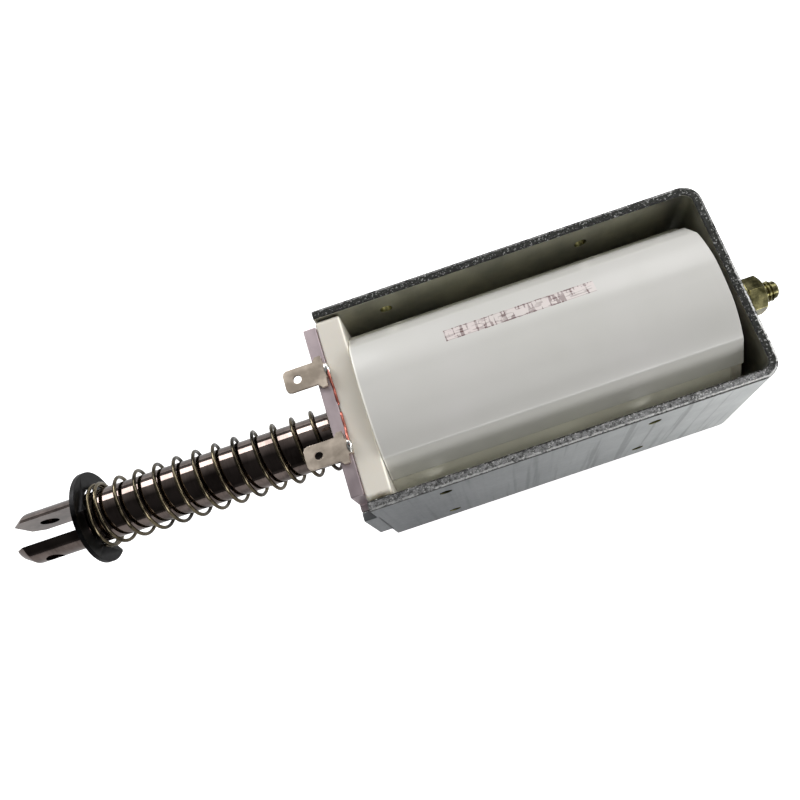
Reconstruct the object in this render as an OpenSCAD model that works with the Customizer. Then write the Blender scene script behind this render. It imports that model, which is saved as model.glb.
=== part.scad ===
// Push pull solenoid with a bent steel frame, a long clevis plunger and a return spring.
// X runs along the bore, from the clevis at -X to the stop nut at +X. Z is up.

/* [Frame] */
// Length of the frame, from the open ends of its walls to the outside of its back
frame_length = 107; // [100:1:115]
// Width of the frame over its two walls
frame_width = 56; // [54:1:60]
// Height of the frame walls
frame_height = 46; // [44:1:48]
// Thickness of the frame's steel strip
sheet = 2.5; // [2:0.1:3]
// Inside radius of the two bends
bend_radius = 2.5; // [1.5:0.5:4]
// Height of the tenon on the front end of each wall
tenon_height = 24; // [16:1:28]

/* [Mounting holes] */
// Core diameter of each tapped hole in the walls
mount_hole_d = 3.3; // [2.5:0.1:4.2]
// Distance along the frame between the mounting holes
mount_pitch_x = 56; // [40:1:60]
// Distance up the wall between the mounting holes
mount_pitch_z = 30; // [24:1:32]
// Distance from the open end of the wall to the first holes
mount_first_x = 19; // [15:1:26]

/* [Front plate] */
// Thickness of the front plate
plate_thickness = 3.5; // [3:0.1:4.5]
// Width taken off each corner of the front plate
plate_corner_w = 4.5; // [3:0.5:6]
// Height taken off each corner of the front plate
plate_corner_h = 7; // [4:0.5:8]

/* [Bobbin] */
// Thickness of the square front flange
flange_thickness = 6.7; // [6:0.1:8]
// How far the front flange stays below the edges of the frame walls
flange_drop = 0.5; // [0.3:0.1:1.5]
// Corner radius of the front flange
flange_corner_r = 1.5; // [0.5:0.1:3]
// Bevel along the edges of the front flange
flange_bevel = 0.6; // [0.2:0.1:1]
// Thickness of the round rear flange
rear_flange_thickness = 3; // [2:0.5:5]
// Wall of the tube that carries the winding
tube_wall = 1.5; // [1:0.1:2.5]
// Thickness of the soft pad between the bobbin and the back of the frame
rear_pad_thickness = 2.8; // [2:0.1:4]
// Outside diameter of the soft rear pad
rear_pad_d = 40; // [30:1:44]

/* [Coil and covers] */
// Thickness of the tape round the winding
wrap_thickness = 0.8; // [0.5:0.1:1]
// Thickness of the moulded coil covers
cover_wall = 2.2; // [1.8:0.1:2.5]
// Width of the flat land along the top of a cover's crown
crown_land = 8; // [6:0.5:10]
// Angle above the horizontal at which a cover's round crown meets its flat flank
cover_shoulder_angle = 53; // [48:1:60]
// Angle above the horizontal of a cover's lower edge
cover_edge_angle = 40; // [34:1:44]
// Thickness of a cover at its lower edge
cover_edge_wall = 0.6; // [0.4:0.1:1.2]

/* [Plunger] */
// Diameter of the plunger
plunger_d = 14.8; // [12:0.1:15]
// How far the plunger stands out of the front plate at rest
plunger_reach = 96.2; // [90:0.1:105]
// Travel of the plunger
stroke = 45; // [30:1:48]
// Width of the clevis slot
slot_width = 6.8; // [5:0.1:7.2]
// Depth of the clevis slot
slot_depth = 16.2; // [14:0.1:17.5]
// Diameter of the cross hole in the clevis
pin_hole_d = 5; // [4:0.5:6]
// Distance of the cross hole from the end of the clevis
pin_hole_offset = 8; // [7:0.5:9]
// Length of the cone on the end of the clevis
tip_chamfer = 3; // [1:0.5:4]
// Distance of the clip groove from the end of the clevis
groove_offset = 22; // [20:0.5:26]
// Depth of the clip groove
groove_depth = 1.5; // [1:0.1:2]

/* [Return spring and clip] */
// Diameter of the spring wire
wire_d = 1.05; // [0.8:0.05:1.2]
// Gap between the plunger and the inside of the spring
spring_gap = 1.05; // [0.8:0.05:1.6]
// Number of working turns
active_turns = 12; // [9:1:14]
// Closed turns at each end of the spring
closed_turns = 1.5; // [1:0.25:2]
// Thickness of the retaining clip
clip_thickness = 1.3; // [1:0.1:1.5]
// Outside diameter of the retaining clip
clip_d = 26.5; // [24:0.5:28]
// Angle of the clip's mouth round the plunger
clip_angle = 250; // [0:5:355]

/* [Fixed core and push rod] */
// Length of the fixed core inside the bobbin
core_length = 35.5; // [30:0.5:38]
// Depth of the conical seat in the core
seat_depth = 5; // [3:0.5:7]
// Width of the flat land round the conical seat
seat_land = 0.5; // [0.3:0.1:1]
// How much the radius of the conical seat narrows to its bottom
seat_taper = 1.5; // [1:0.1:2]
// Diameter of the threaded end that holds the core in the frame
spigot_d = 12; // [10:0.5:12]
// Diameter of the push rod
rod_d = 6; // [5:0.5:6]
// Length of push rod screwed into the plunger
rod_grip = 12; // [8:1:16]
// Length of push rod that stands out past the stop nut
rod_tail = 4.7; // [2:0.1:8]

/* [Nuts and washers] */
// Size across the flats of the core nut
core_nut_flats = 17; // [16:0.5:18]
// Height of the core nut
core_nut_height = 4; // [4:0.5:6]
// Thickness of the washer under the core nut
core_washer_thickness = 1; // [0.8:0.1:1.6]
// Thickness of the rubber damping washer
damper_thickness = 1.5; // [1:0.1:3]
// Size across the flats of the stop nut
stop_nut_flats = 10; // [9:0.5:10]
// Height of the stop nut
stop_nut_height = 5; // [4:0.5:6]
// Thickness of the stop washer
stop_washer_thickness = 1; // [1:0.1:2]

/* [Terminals] */
// Width of the flat terminal tabs
tab_width = 6.3; // [4.8:0.1:6.3]
// Thickness of the tabs
tab_thickness = 0.8; // [0.5:0.1:1]
// Length of tab that stands out in front of the bobbin
tab_reach = 11.6; // [9:0.1:14]
// Distance of each tab from the middle
tab_offset = 10.6; // [9:0.1:13]
// Width of the tab's root
tab_root_width = 8.6; // [7:0.1:9]
// Diameter of the enamelled lead wire
lead_d = 0.9; // [0.6:0.1:1]

/* [Clearances] */
// Radial running clearance of the plunger in the guide sleeve
running_clearance = 0.05; // [0.02:0.01:0.1]
// Gap between fixed pieces that slip together
slip = 0.1; // [0.05:0.01:0.15]
// Gap between the coil and the walls of the frame
coil_gap = 0.3; // [0.2:0.1:0.6]
// Wall of the brass guide sleeve
sleeve_wall = 0.5; // [0.4:0.1:0.8]

/* [Hidden] */
$fn = 96;
eps = 0.01;

// Radii from the bore outwards.
plunger_r = plunger_d / 2;
sleeve_inner_r = plunger_r + running_clearance;
sleeve_outer_r = sleeve_inner_r + sleeve_wall;
tube_inner_r = sleeve_outer_r + slip / 2;
tube_outer_r = tube_inner_r + tube_wall;
wrap_r = frame_width / 2 - sheet - coil_gap;
winding_r = wrap_r - wrap_thickness;
cover_inner_r = wrap_r + 2 * slip;
crown_r = cover_inner_r + cover_wall;
land_height = sqrt(pow(crown_r, 2) - pow(crown_land / 2, 2));
rod_r = rod_d / 2;
rod_bore_r = rod_r + slip / 4;
rod_hole_r = rod_r + 0.3;
groove_r = plunger_r - groove_depth;
seat_rim_r = plunger_r - seat_land;
seat_floor_r = seat_rim_r - seat_taper;
spring_r = plunger_r + spring_gap + wire_d / 2;
collar_r = spigot_d / 2 + 5;

// Stations along X. Zero is at the open ends of the frame walls.
plate_front = -plate_thickness;
back_inside = frame_length - sheet;
bobbin_end = back_inside - rear_pad_thickness - slip;
winding_start = flange_thickness + slip;
winding_end = bobbin_end - rear_flange_thickness - slip;
core_face = bobbin_end - core_length;
seat_washer_thickness = 0.5;
seat_washer_face = core_face + seat_depth - seat_washer_thickness;
closed_gap = 0.2;
plunger_tip = plate_front - plunger_reach;
plunger_nose = seat_washer_face - stroke - closed_gap;
groove_x = plunger_tip + groove_offset;
groove_width = clip_thickness + 0.2;
clip_face = groove_x + clip_thickness / 2;
core_washer_x = frame_length;
core_nut_x = core_washer_x + core_washer_thickness;
spigot_end = core_nut_x + core_nut_height + 0.4;
damper_end = spigot_end + damper_thickness;
stop_gap = 0.1;
stop_washer_x = damper_end + stop_gap;
stop_nut_x = stop_washer_x + stop_washer_thickness;
rod_start = plunger_nose - rod_grip;
rod_end = stop_nut_x + stop_nut_height + rod_tail;

// Heights above the bore.
wall_top = frame_height / 2;
flange_top = wall_top - flange_drop;
flange_width = 2 * wrap_r;
tab_bottom = wall_top + 2 * slip;
tab_top = tab_bottom + tab_thickness;
tab_leg_x = 1;
tab_leg_w = 4;
tab_leg_depth = 8;
lead_r = lead_d / 2;
lead_z = tab_top + lead_r;
lead_hole_r = lead_r + 0.35;
lead_x = lead_r + slip;
lead_turn_y = lead_hole_r + 0.4;
start_lead_z = tube_outer_r + 1;
finish_lead_z = flange_top - 3;
solder_r = 1.05;

// Fineness of the spring.
spring_sides = 8;
steps_per_turn = 20;

// The origin is under the middle of the part, level with the lowest cover.
origin_x = -(plunger_tip + rod_end) / 2;
axis_z = land_height;

// Puts a piece that is drawn round the bore into the part's own frame.
module placed() {
    translate([origin_x, 0, axis_z]) children();
}

// A round bar along X.
module bar_x(r, x1, x2) {
    translate([x1, 0, 0]) rotate([0, 90, 0]) cylinder(r = r, h = x2 - x1);
}

// A ring along X.
module ring_x(r_out, r_in, x1, x2) {
    difference() {
        bar_x(r_out, x1, x2);
        bar_x(r_in, x1 - 1, x2 + 1);
    }
}

// Extrudes an outline drawn in Y and Z along X.
module extrude_x(x1, x2) {
    translate([x1, 0, 0]) rotate([90, 0, 90]) linear_extrude(x2 - x1) children();
}

// Turns a profile of [radius, x] points about the X axis.
module turn_x(profile) {
    rotate([0, 90, 0]) rotate_extrude() polygon(profile);
}

// A rectangle with round corners, centred.
module round_rect(w, h, r) {
    square([w - 2 * r, h], center = true);
    square([w, h - 2 * r], center = true);
    for (sy = [-1, 1], sz = [-1, 1])
        translate([sy * (w / 2 - r), sz * (h / 2 - r)]) circle(r);
}

// A hexagon nut along X with chamfered corners.
module hex_nut(flats, height, bore_r, x) {
    corner_r = flats / sqrt(3);
    bevel_r = flats / 2 * 0.97;
    bevel = (corner_r - bevel_r) * tan(30);
    difference() {
        intersection() {
            translate([x, 0, 0]) rotate([0, 90, 0]) cylinder(r = corner_r, h = height, $fn = 6);
            turn_x([[0, x], [bevel_r, x], [corner_r + eps, x + bevel],
                [corner_r + eps, x + height - bevel], [bevel_r, x + height], [0, x + height]]);
        }
        bar_x(bore_r, x - 1, x + height + 1);
    }
}

// The outline of the bent strip seen from above, from its open end to its round back corners.
module strip_outline(length, width, r) {
    translate([0, -width / 2]) square([length - r, width]);
    translate([0, -width / 2 + r]) square([length, width - 2 * r]);
    for (side = [-1, 1])
        translate([length - r, side * (width / 2 - r)]) circle(r);
}

module frame() {
    color([0.62, 0.64, 0.66]) placed() difference() {
        union() {
            translate([0, 0, -wall_top]) linear_extrude(frame_height) difference() {
                strip_outline(frame_length, frame_width, bend_radius + sheet);
                translate([-1, 0]) strip_outline(back_inside + 1, frame_width - 2 * sheet, bend_radius);
            }
            for (side = [-1, 1])
                translate([plate_front, side * (frame_width - sheet) / 2 - sheet / 2, -tenon_height / 2])
                    cube([plate_thickness + 1, sheet, tenon_height]);
        }
        for (x = [mount_first_x, mount_first_x + mount_pitch_x], z = [-mount_pitch_z / 2, mount_pitch_z / 2])
            translate([x, 0, z]) rotate([90, 0, 0])
                cylinder(d = mount_hole_d, h = frame_width + 2, center = true);
        bar_x(spigot_d / 2 + slip, back_inside - 1, frame_length + 1);
    }
}

module front_plate() {
    half_w = frame_width / 2;
    color([0.72, 0.71, 0.76]) placed() difference() {
        extrude_x(plate_front, 0) difference() {
            polygon([[-half_w, plate_corner_h - wall_top], [plate_corner_w - half_w, -wall_top],
                [half_w - plate_corner_w, -wall_top], [half_w, plate_corner_h - wall_top],
                [half_w, wall_top - plate_corner_h], [half_w - plate_corner_w, wall_top],
                [plate_corner_w - half_w, wall_top], [-half_w, wall_top - plate_corner_h]]);
            for (side = [-1, 1])
                translate([side * (half_w - sheet / 2 + 1 - slip / 2), 0])
                    square([sheet + 2 + slip, tenon_height + slip], center = true);
        }
        bar_x(sleeve_outer_r + slip / 2, plate_front - 1, 1);
    }
}

// A rectangle with its four corners cut off at 45 degrees, from the origin along X, centred on Y.
module bevelled_rect(length, width, bevel) {
    half_w = width / 2;
    polygon([[0, bevel - half_w], [bevel, -half_w], [length - bevel, -half_w], [length, bevel - half_w],
        [length, half_w - bevel], [length - bevel, half_w], [bevel, half_w], [0, half_w - bevel]]);
}

// The square front flange, bevelled along its edges.
module front_flange() {
    intersection() {
        extrude_x(0, flange_thickness) round_rect(flange_width, 2 * flange_top, flange_corner_r);
        linear_extrude(frame_height, center = true)
            bevelled_rect(flange_thickness, flange_width, flange_bevel);
        rotate([90, 0, 0]) linear_extrude(frame_width, center = true)
            bevelled_rect(flange_thickness, 2 * flange_top, flange_bevel);
    }
}

// The hole that one lead takes through the flange: down from the top, then back to the winding.
module lead_hole(side, depth_z) {
    translate([lead_x, side * lead_turn_y, depth_z]) cylinder(r = lead_hole_r, h = flange_top - depth_z + 1);
    translate([0, side * lead_turn_y, depth_z]) bar_x(lead_hole_r, lead_x, flange_thickness + 1);
}

module bobbin() {
    color([0.93, 0.91, 0.86]) placed() difference() {
        union() {
            front_flange();
            for (side = [-1, 1])
                translate([flange_bevel, side * tab_offset - tab_root_width / 2, flange_top - 1])
                    cube([tab_leg_x + 2 * tab_thickness - flange_bevel, tab_root_width,
                        1 + tab_bottom - flange_top]);
            bar_x(tube_outer_r, 1, bobbin_end - 1);
            bar_x(wrap_r - slip, bobbin_end - rear_flange_thickness, bobbin_end);
        }
        bar_x(tube_inner_r, -1, bobbin_end + 1);
        for (side = [-1, 1])
            translate([tab_leg_x - slip, side * tab_offset - tab_leg_w / 2 - slip, tab_bottom - tab_leg_depth - slip])
                cube([tab_thickness + 2 * slip, tab_leg_w + 2 * slip, tab_leg_depth + 2]);
        lead_hole(1, start_lead_z);
        lead_hole(-1, finish_lead_z);
    }
}

module coil_winding() {
    color([0.72, 0.38, 0.2]) placed()
        ring_x(winding_r, tube_outer_r + slip / 2, winding_start, winding_end);
}

module coil_wrap() {
    color([0.9, 0.9, 0.86]) placed()
        ring_x(wrap_r, winding_r + slip / 4, winding_start, winding_end);
}

// A moulded cover over the top of the coil: a round crown with a flat land, between two flat flanks.
module cover_shell() {
    edge_r = cover_inner_r + cover_edge_wall;
    shoulder = crown_r * [cos(cover_shoulder_angle), sin(cover_shoulder_angle)];
    edge = edge_r * [cos(cover_edge_angle), sin(cover_edge_angle)];
    intersection() {
        ring_x(crown_r, cover_inner_r, winding_start, bobbin_end);
        extrude_x(0, frame_length) polygon([[-edge.x, edge.y], [-shoulder.x, shoulder.y],
            [-shoulder.x, land_height], [shoulder.x, land_height], shoulder, edge]);
    }
}

module upper_cover() {
    color([0.94, 0.93, 0.9]) placed() cover_shell();
}

module lower_cover() {
    color([0.94, 0.93, 0.9]) placed() mirror([0, 0, 1]) cover_shell();
}

module guide_sleeve() {
    color([0.82, 0.68, 0.35]) placed() ring_x(sleeve_outer_r, sleeve_inner_r, plate_front, bobbin_end);
}

module fixed_core() {
    core_r = sleeve_inner_r - slip / 4;
    color([0.6, 0.6, 0.62]) placed() difference() {
        turn_x([[0, core_face], [core_r, core_face], [core_r, bobbin_end + slip / 2],
            [collar_r, bobbin_end + slip / 2], [collar_r, back_inside], [spigot_d / 2, back_inside],
            [spigot_d / 2, spigot_end - 0.5], [spigot_d / 2 - 0.5, spigot_end], [0, spigot_end]]);
        turn_x([[0, core_face - 1], [seat_rim_r + seat_taper / seat_depth, core_face - 1],
            [seat_floor_r, core_face + seat_depth], [0, core_face + seat_depth]]);
        bar_x(rod_hole_r, core_face - 1, spigot_end + 1);
    }
}

module rear_pad() {
    color([0.25, 0.25, 0.26]) placed()
        ring_x(rear_pad_d / 2, collar_r + slip, bobbin_end + slip / 2, back_inside - slip / 2);
}

module core_washer() {
    color([0.78, 0.74, 0.5]) placed()
        ring_x(core_nut_flats / 2 + 1, spigot_d / 2 + slip, core_washer_x, core_nut_x);
}

module core_nut() {
    color([0.78, 0.74, 0.5]) placed() hex_nut(core_nut_flats, core_nut_height, spigot_d / 2 + slip / 4, core_nut_x);
}

module damping_washer() {
    color([0.12, 0.12, 0.12]) placed() ring_x(spigot_d / 2, rod_hole_r, spigot_end, damper_end);
}

module seat_washer() {
    color([0.82, 0.68, 0.35]) placed()
        ring_x(seat_floor_r - slip, rod_hole_r, seat_washer_face, seat_washer_face + seat_washer_thickness);
}

module plunger() {
    nose_r = seat_floor_r - closed_gap - slip;
    cone_start = plunger_nose - seat_depth;
    cone_r = seat_rim_r - closed_gap - slip;
    color([0.75, 0.74, 0.73]) placed() difference() {
        turn_x([[0, plunger_tip], [plunger_r - tip_chamfer * 0.6, plunger_tip],
            [plunger_r, plunger_tip + tip_chamfer], [plunger_r, groove_x - groove_width / 2],
            [groove_r, groove_x - groove_width / 2], [groove_r, groove_x + groove_width / 2],
            [plunger_r, groove_x + groove_width / 2], [plunger_r, cone_start],
            [cone_r, cone_start], [nose_r, plunger_nose], [0, plunger_nose]]);
        translate([plunger_tip - 1, -slot_width / 2, -plunger_r - 1])
            cube([slot_depth + 1, slot_width, plunger_d + 2]);
        translate([plunger_tip + pin_hole_offset, 0, 0]) rotate([90, 0, 0])
            cylinder(d = pin_hole_d, h = plunger_d + 2, center = true);
        bar_x(rod_bore_r, rod_start - 1, plunger_nose + 1);
    }
}

module push_rod() {
    color([0.76, 0.72, 0.48]) placed()
        turn_x([[0, rod_start], [rod_r - 0.5, rod_start], [rod_r, rod_start + 0.5],
            [rod_r, rod_end - 0.6], [rod_r - 0.6, rod_end], [0, rod_end]]);
}

module stop_washer() {
    color([0.78, 0.74, 0.5]) placed() ring_x(spigot_d / 2, rod_bore_r, stop_washer_x, stop_nut_x);
}

module stop_nut() {
    color([0.78, 0.74, 0.5]) placed() hex_nut(stop_nut_flats, stop_nut_height, rod_bore_r, stop_nut_x);
}

// An E clip: a broad ring, open on one side, that grips the groove with three lugs.
module retaining_clip() {
    relief_r = plunger_r + 1.2;
    grip_r = groove_r + slip / 4;
    mouth = groove_r * 1.72;
    lug_w = 5;
    color([0.12, 0.12, 0.13]) placed()
        extrude_x(groove_x - clip_thickness / 2, clip_face) rotate(clip_angle) difference() {
            circle(clip_d / 2);
            difference() {
                circle(relief_r);
                for (a = [90, 180, 270])
                    rotate(a) translate([grip_r - 1, -lug_w / 2]) square([relief_r, lug_w]);
            }
            circle(grip_r);
            translate([0, -mouth / 2]) square([clip_d, mouth]);
        }
}

// How far along the spring the wire has come after a number of turns.
function spring_advance(turns, closed_pitch, open_pitch) =
    closed_pitch * (min(turns, closed_turns) + max(0, turns - closed_turns - active_turns))
    + open_pitch * max(0, min(turns - closed_turns, active_turns));

module return_spring() {
    spring_start = clip_face + wire_d / 2 + slip / 2;
    spring_end = plate_front - wire_d / 2 - slip / 2;
    closed_pitch = wire_d * 1.04;
    open_pitch = (spring_end - spring_start - 2 * closed_turns * closed_pitch) / active_turns;
    total_turns = active_turns + 2 * closed_turns;
    steps = round(total_turns * steps_per_turn);
    points = [for (i = [0:steps]) let(turns = total_turns * i / steps,
            x = spring_start + spring_advance(turns, closed_pitch, open_pitch), a = 360 * turns)
        for (j = [0:spring_sides - 1]) let(b = 360 * (j + 0.5) / spring_sides,
            r = spring_r + wire_d / 2 * cos(b))
        [x + wire_d / 2 * sin(b), r * cos(a), r * sin(a)]];
    side_faces = [for (i = [0:steps - 1], j = [0:spring_sides - 1])
        let(k = (j + 1) % spring_sides, p = i * spring_sides, q = p + spring_sides)
        each [[p + j, p + k, q + k], [p + j, q + k, q + j]]];
    start_cap = [[for (j = [spring_sides - 1:-1:0]) j]];
    end_cap = [[for (j = [0:spring_sides - 1]) steps * spring_sides + j]];
    color([0.35, 0.32, 0.26]) placed() polyhedron(points, concat(side_faces, start_cap, end_cap));
}

// A flat tab with a hole, a wider root and a leg bent down into the flange.
module terminal(side) {
    hole_offset = 3.5;
    corner = 1.2;
    root_x = -2.4;
    root_end = tab_leg_x + tab_thickness;
    color([0.78, 0.74, 0.62]) placed() translate([0, side * tab_offset, 0]) {
        translate([0, 0, tab_bottom]) difference() {
            linear_extrude(tab_thickness) {
                polygon([[-tab_reach, corner - tab_width / 2], [corner - tab_reach, -tab_width / 2],
                    [0, -tab_width / 2], [0, tab_width / 2],
                    [corner - tab_reach, tab_width / 2], [-tab_reach, tab_width / 2 - corner]]);
                translate([root_x, -tab_root_width / 2]) square([root_end - root_x, tab_root_width]);
            }
            translate([hole_offset - tab_reach, 0, -1]) cylinder(d = 2.2, h = tab_thickness + 2);
        }
        translate([tab_leg_x, -tab_leg_w / 2, tab_bottom - tab_leg_depth])
            cube([tab_thickness, tab_leg_w, tab_leg_depth + tab_thickness / 2]);
    }
}

module far_terminal() {
    terminal(1);
}

module near_terminal() {
    terminal(-1);
}

// A low dome of solder on each tab, round the end of its lead.
module solder_joints() {
    color([0.7, 0.7, 0.68]) placed() for (side = [-1, 1]) difference() {
        translate([lead_x, side * tab_offset, tab_top]) intersection() {
            translate([0, 0, -solder_r * 0.2]) sphere(solder_r * 1.15);
            cylinder(r = solder_r * 1.2, h = solder_r * 2);
        }
        translate([lead_x, side * tab_offset, lead_z]) rotate([side * 90, 0, 0])
            cylinder(r = lead_r + slip / 10, h = tab_offset);
    }
}

// A quarter turn of round wire in the plane of its two directions.
module elbow(bend_r) {
    rotate_extrude(angle = 90) translate([bend_r, 0]) circle(lead_r, $fn = 32);
}

// Enamelled wire from a tab to the middle, down through the flange and back to the winding.
module lead(side, depth_z) {
    bend = 1;
    color([0.6, 0.25, 0.15]) placed() mirror([0, side > 0 ? 0 : 1, 0]) {
        translate([lead_x, tab_offset, lead_z]) rotate([90, 0, 0])
            cylinder(r = lead_r, h = tab_offset - lead_turn_y - bend);
        translate([lead_x, lead_turn_y + bend, lead_z - bend]) rotate([90, 0, 90]) rotate(90) elbow(bend);
        translate([lead_x, lead_turn_y, depth_z + bend])
            cylinder(r = lead_r, h = lead_z - depth_z - 2 * bend);
        translate([lead_x + bend, lead_turn_y, depth_z + bend]) rotate([90, 0, 0]) rotate(180) elbow(bend);
        translate([0, lead_turn_y, depth_z]) bar_x(lead_r, lead_x + bend, flange_thickness);
    }
}

module start_lead() {
    lead(1, start_lead_z);
}

module finish_lead() {
    lead(-1, finish_lead_z);
}

frame();
front_plate();
bobbin();
coil_winding();
coil_wrap();
upper_cover();
lower_cover();
guide_sleeve();
fixed_core();
rear_pad();
core_washer();
core_nut();
damping_washer();
seat_washer();
plunger();
push_rod();
stop_washer();
stop_nut();
retaining_clip();
return_spring();
far_terminal();
near_terminal();
solder_joints();
start_lead();
finish_lead();
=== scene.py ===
"""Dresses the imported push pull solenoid: frame, bobbin, coil covers, plunger, spring, tabs and nuts.

Lengths are metres in the part's own frame. X runs along the bore, from the clevis to the
stop nut, and Z is up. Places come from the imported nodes' own boxes.
"""

import logging
import math
from dataclasses import dataclass
from enum import Enum
from typing import Any, Callable, Iterable, Sequence, Union

import bmesh
import bpy
from mathutils import Matrix, Vector, noise


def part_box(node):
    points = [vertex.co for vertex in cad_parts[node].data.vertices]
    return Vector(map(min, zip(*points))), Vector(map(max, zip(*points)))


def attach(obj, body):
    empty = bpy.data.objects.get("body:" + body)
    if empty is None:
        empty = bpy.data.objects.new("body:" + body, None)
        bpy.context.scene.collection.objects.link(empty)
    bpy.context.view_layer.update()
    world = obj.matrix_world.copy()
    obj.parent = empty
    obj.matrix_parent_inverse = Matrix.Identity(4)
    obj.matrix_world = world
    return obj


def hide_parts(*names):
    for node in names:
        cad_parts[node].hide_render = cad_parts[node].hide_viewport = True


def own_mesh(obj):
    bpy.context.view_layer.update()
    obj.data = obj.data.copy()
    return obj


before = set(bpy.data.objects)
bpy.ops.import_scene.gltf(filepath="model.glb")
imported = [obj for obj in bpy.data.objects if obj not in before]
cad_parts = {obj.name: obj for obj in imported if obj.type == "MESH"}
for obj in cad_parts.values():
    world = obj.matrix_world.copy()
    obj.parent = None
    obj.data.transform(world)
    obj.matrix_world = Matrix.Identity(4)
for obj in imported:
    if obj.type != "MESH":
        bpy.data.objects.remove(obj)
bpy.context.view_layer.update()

MM = 0.001
ALONG = Vector((1.0, 0.0, 0.0))
ACROSS = Vector((0.0, 1.0, 0.0))
UP = Vector((0.0, 0.0, 1.0))
BORE_Z = sum(corner.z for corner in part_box("plunger")) / 2
BORE = UP * BORE_Z
PLATE_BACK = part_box("front_plate")[1].x
log = logging.getLogger("solenoid")

Colour = tuple[float, float, float, float]
Profile = Sequence[tuple[float, float]]
Point = Union[Vector, tuple[float, float, float]]
Mesh = bmesh.types.BMesh
Vert = bmesh.types.BMVert
Edge = bmesh.types.BMEdge
Face = bmesh.types.BMFace


class Body(Enum):
    """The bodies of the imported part."""

    FIXED = "solenoid_body"
    MOVING = "plunger_assembly"


def tint(red: int, green: int, blue: int) -> Colour:
    """Turns a display colour of 0 to 255 a channel into a linear colour."""
    channels = [c / 255 for c in (red, green, blue)]
    return (*[c / 12.92 if c < 0.04 else ((c + 0.055) / 1.055) ** 2.4 for c in channels], 1.0)


# ---------------------------------------------------------------- shader trees


def maths(operation: str, swapped: bool = False) -> Callable[..., "Sock"]:
    """Makes an operator that adds one Math node.

    Args:
        operation: The node's operation.
        swapped: Whether the other operand comes first, as in a reflected operator.

    Returns:
        The operator's method.
    """
    def apply(self: "Sock", other: "Value" = 0.0) -> "Sock":
        """Adds the node."""
        pair = (other, self) if swapped else (self, other)
        return self.tree.node("ShaderNodeMath", {"operation": operation}, dict(enumerate(pair)))
    return apply


class Sock:
    """One output of a node, with arithmetic that adds Math nodes."""

    def __init__(self, tree: "Tree", output: bpy.types.NodeSocket) -> None:
        """Keeps the socket and the tree that it belongs to."""
        self.tree, self.output = tree, output

    __add__ = __radd__ = maths("ADD")
    __mul__ = __rmul__ = maths("MULTIPLY")
    __sub__, __rsub__ = maths("SUBTRACT"), maths("SUBTRACT", True)
    __truediv__ = maths("DIVIDE")
    __abs__ = maths("ABSOLUTE")
    __gt__, __lt__ = maths("GREATER_THAN"), maths("LESS_THAN")


Value = Union[Sock, float]


class Tree:
    """The node tree of a material or a world, with one shader."""

    def __init__(self, owner: Union[bpy.types.Material, bpy.types.World],
                 shader: str = "Principled BSDF") -> None:
        """Switches the owner's nodes on and finds its shader."""
        owner.use_nodes = True
        self.owner = owner
        self.nodes, self.links = owner.node_tree.nodes, owner.node_tree.links
        self.shader = self.nodes[shader]

    def node(self, kind: str, settings: dict[str, Any] | None = None,
             inputs: dict[Union[str, int], Any] | None = None, output: Union[str, int] = 0) -> Sock:
        """Adds a node.

        Args:
            kind: The node's type.
            settings: Its properties, set first.
            inputs: Values or sockets by input name or number.
            output: The output that is given back.

        Returns:
            The wrapped output.
        """
        made = self.nodes.new(kind)
        for key, value in (settings or {}).items():
            setattr(made, key, value)
        for key, value in (inputs or {}).items():
            if isinstance(value, Sock):
                self.links.new(value.output, made.inputs[key])
            else:
                made.inputs[key].default_value = value
        return Sock(self, made.outputs[output])

    def axis(self, which: str) -> Sock:
        """One of the object coordinates, X, Y or Z, in metres."""
        plain = self.node("ShaderNodeTexCoord", output="Object")
        return self.node("ShaderNodeSeparateXYZ", {}, {0: plain}, which)

    def noise(self, scale: float, detail: float = 3.0, roughness: float = 0.55,
              stretch: Sequence[float] = (1, 1, 1)) -> Sock:
        """Noise of about 0 to 1, with grains of one over scale metres, in stretched object coordinates."""
        plain = self.node("ShaderNodeTexCoord", output="Object")
        place = self.node("ShaderNodeMapping", {}, {"Vector": plain, "Scale": stretch})
        return self.node("ShaderNodeTexNoise", {}, {
            "Vector": place, "Scale": scale, "Detail": detail, "Roughness": roughness})

    def remap(self, value: Value, low: float, high: float, start: float = 0.0, end: float = 1.0) -> Sock:
        """Value between low and high, spread over start to end and kept there."""
        return self.node("ShaderNodeMapRange", {"clamp": True}, {
            "Value": value, "From Min": low, "From Max": high, "To Min": start, "To Max": end})

    def mix(self, factor: Value, first: Union[Sock, Colour], second: Union[Sock, Colour]) -> Sock:
        """Blend of two colours."""
        return self.node("ShaderNodeMix", {"data_type": "RGBA"}, {0: factor, 6: first, 7: second}, 2)

    def bump(self, height: Value, distance: float) -> Sock:
        """A normal that is raised by height, where one is as deep as distance."""
        return self.node("ShaderNodeBump", {}, {"Height": height, "Distance": distance})

    def fill(self, **sockets: Any) -> Union[bpy.types.Material, bpy.types.World]:
        """Sets or links the shader's sockets, named with underscores for spaces."""
        for name, value in sockets.items():
            socket = self.shader.inputs[name.replace("_", " ")]
            if isinstance(value, Sock):
                self.links.new(value.output, socket)
            else:
                socket.default_value = value
        return self.owner


# ---------------------------------------------------------------- finishes


@dataclass(frozen=True)
class Finish:
    """A finish that a piece is dressed in, under the record's name for its slot."""

    slot: str

    def paint(self, tree: Tree) -> bpy.types.Material:
        """Fills the tree. Each finish has its own."""
        raise NotImplementedError

    def material(self) -> bpy.types.Material:
        """The material, made once."""
        name = f"{self.slot}_{type(self).__name__.lower()}"
        return bpy.data.materials.get(name) or self.paint(Tree(bpy.data.materials.new(name)))


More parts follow.
